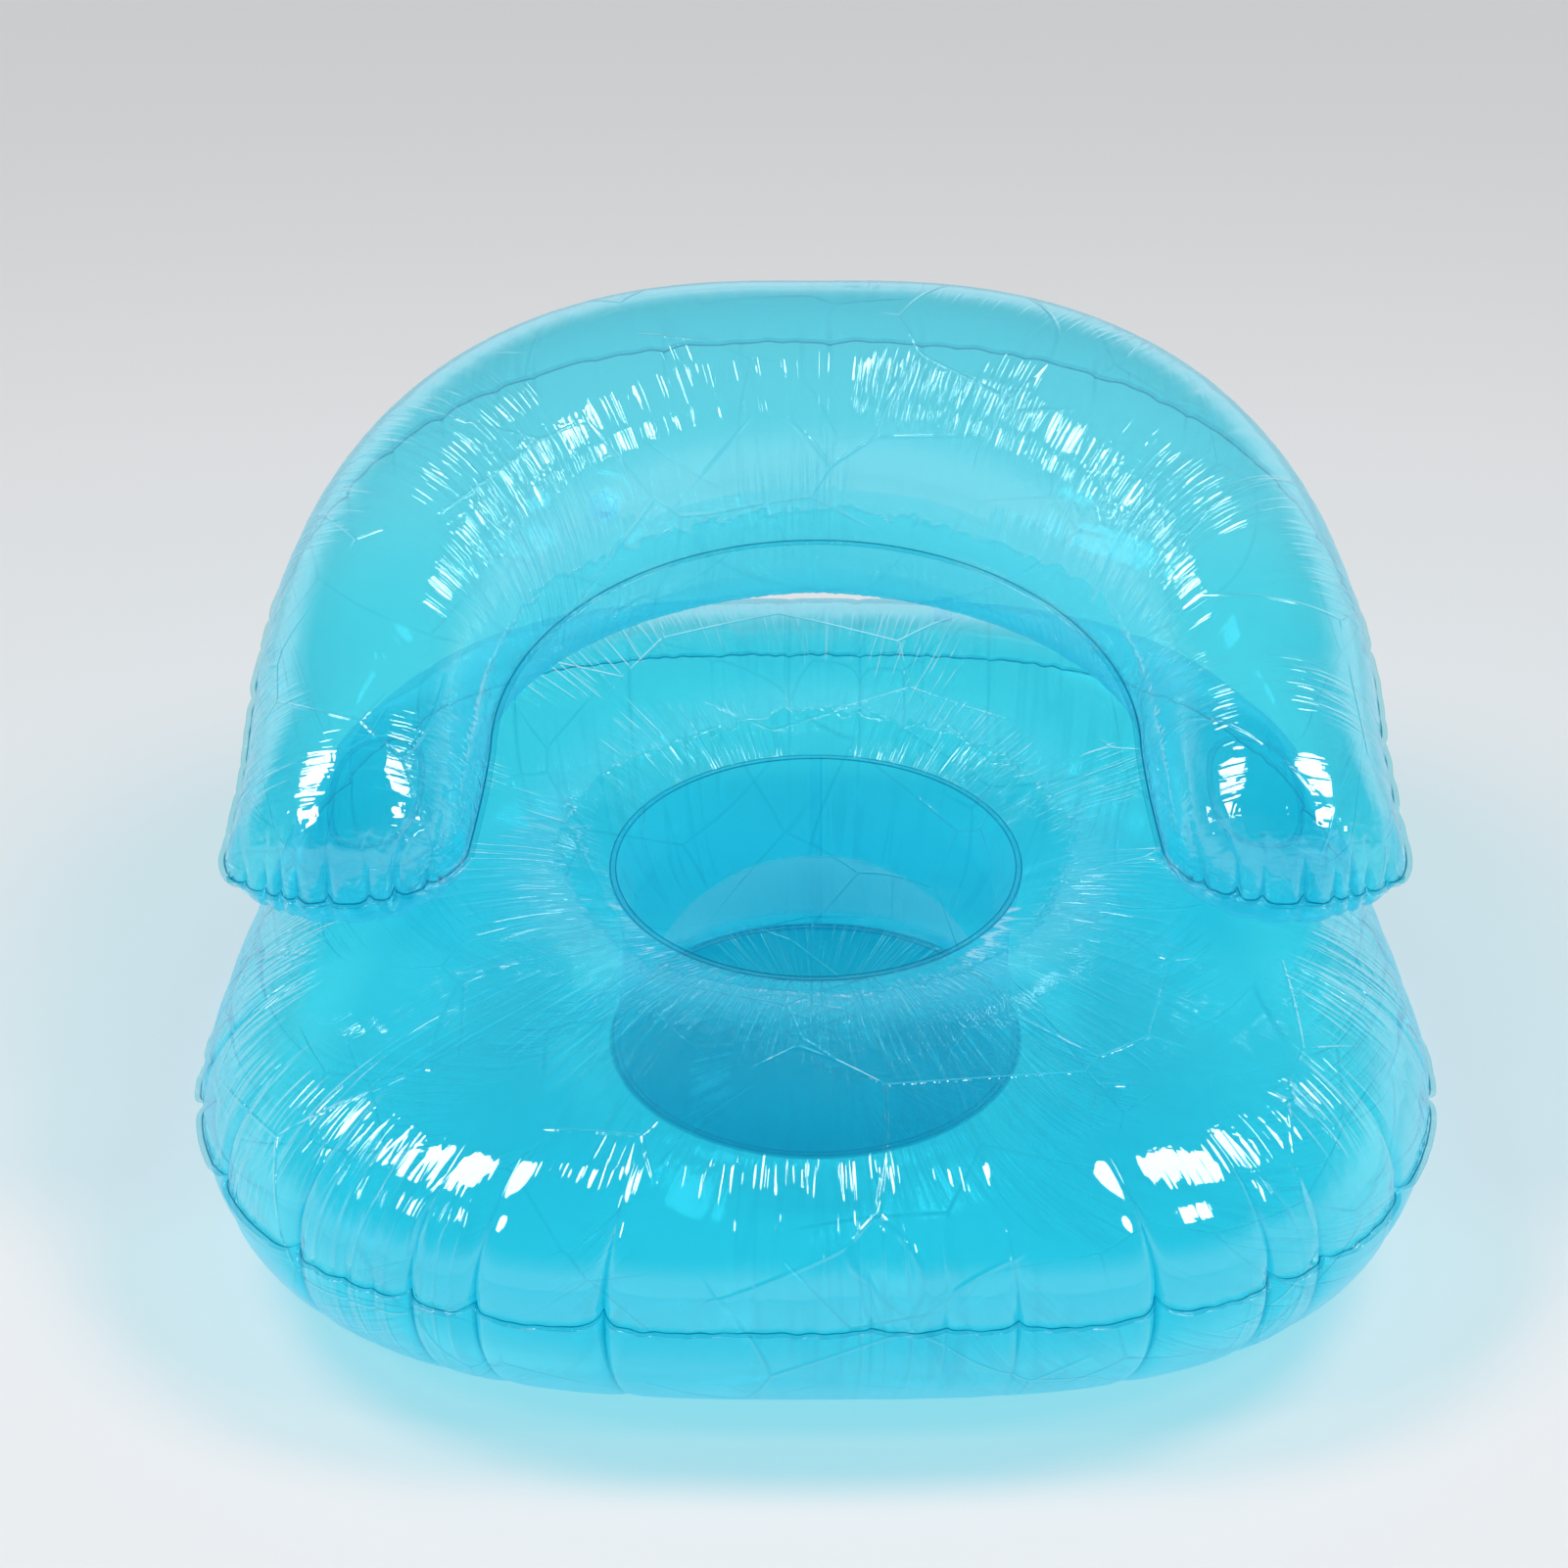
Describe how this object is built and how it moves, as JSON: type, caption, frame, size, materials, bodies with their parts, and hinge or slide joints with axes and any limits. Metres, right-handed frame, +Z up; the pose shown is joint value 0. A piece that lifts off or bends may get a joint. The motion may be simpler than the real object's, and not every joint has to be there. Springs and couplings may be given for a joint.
{
  "type": "inflatable chair",
  "caption": "Inflatable chair of clear tinted film: a square-cornered air seat with a round well, under a horseshoe tube that forms the arms and low back.",
  "frame": {"origin": "on the floor below the middle of the chair's outline", "axes": "+Z up, +Y to the back of the chair, +X to the right as seen from in front; the sitter faces -Y"},
  "size_m": [0.7882, 0.7995, 0.4468],
  "materials": {
    "seat_film": "clear cyan-tinted glossy vinyl film",
    "back_film": "clear cyan-tinted glossy vinyl film, wrinkled at the bends",
    "well_film": "clear cyan-tinted glossy vinyl film",
    "weld_line": "doubled film, melted flat and darker",
    "valve_vinyl": "milky soft vinyl, satin"
  },
  "bodies": {
    "chair": {"seat_top_sheet": "seat_film", "seat_bottom_sheet": "seat_film", "seat_perimeter_weld": "weld_line", "well_wall": "well_film", "well_wall_lap_seam": "weld_line", "well_rim_weld": "weld_line", "well_floor_weld": "weld_line", "back_upper_sheet": "back_film", "back_lower_sheet": "back_film", "back_perimeter_weld": "weld_line", "left_arm_weld": "weld_line", "right_arm_weld": "weld_line", "seat_valve_flange": "valve_vinyl", "back_valve_flange": "valve_vinyl"},
    "seat_stem": {"seat_valve_stem": "valve_vinyl", "seat_valve_strap": "valve_vinyl"},
    "seat_plug": {"seat_valve_plug": "valve_vinyl"},
    "seat_flap": {"seat_valve_check_flap": "valve_vinyl"},
    "back_stem": {"back_valve_stem": "valve_vinyl", "back_valve_strap": "valve_vinyl"},
    "back_plug": {"back_valve_plug": "valve_vinyl"},
    "back_flap": {"back_valve_check_flap": "valve_vinyl"}
  },
  "joints": [
    {"name": "seat_stem_slide", "type": "slide", "parent": "chair", "child": "seat_stem", "axis": [0.0577, 0.586, 0.8083], "range_m": [0, 0.011]},
    {"name": "seat_plug_pull", "type": "slide", "parent": "seat_stem", "child": "seat_plug", "axis": [0.0577, 0.586, 0.8083], "range_m": [0, 0.007]},
    {"name": "seat_flap_hinge", "type": "hinge", "parent": "seat_stem", "child": "seat_flap", "pos_m": [0.09476, 0.34435, 0.17005], "axis": [0.0187, -0.8101, 0.586], "range_deg": [0, 35]},
    {"name": "back_stem_slide", "type": "slide", "parent": "chair", "child": "back_stem", "axis": [-0.2434, 0.6835, -0.6882], "range_m": [0, 0.011]},
    {"name": "back_plug_pull", "type": "slide", "parent": "back_stem", "child": "back_plug", "axis": [-0.2434, 0.6835, -0.6882], "range_m": [0, 0.007]},
    {"name": "back_flap_hinge", "type": "hinge", "parent": "back_stem", "child": "back_flap", "pos_m": [-0.14159, 0.33611, 0.27218], "axis": [-0.5336, 0.4981, 0.6835], "range_deg": [0, 35]}
  ]
}
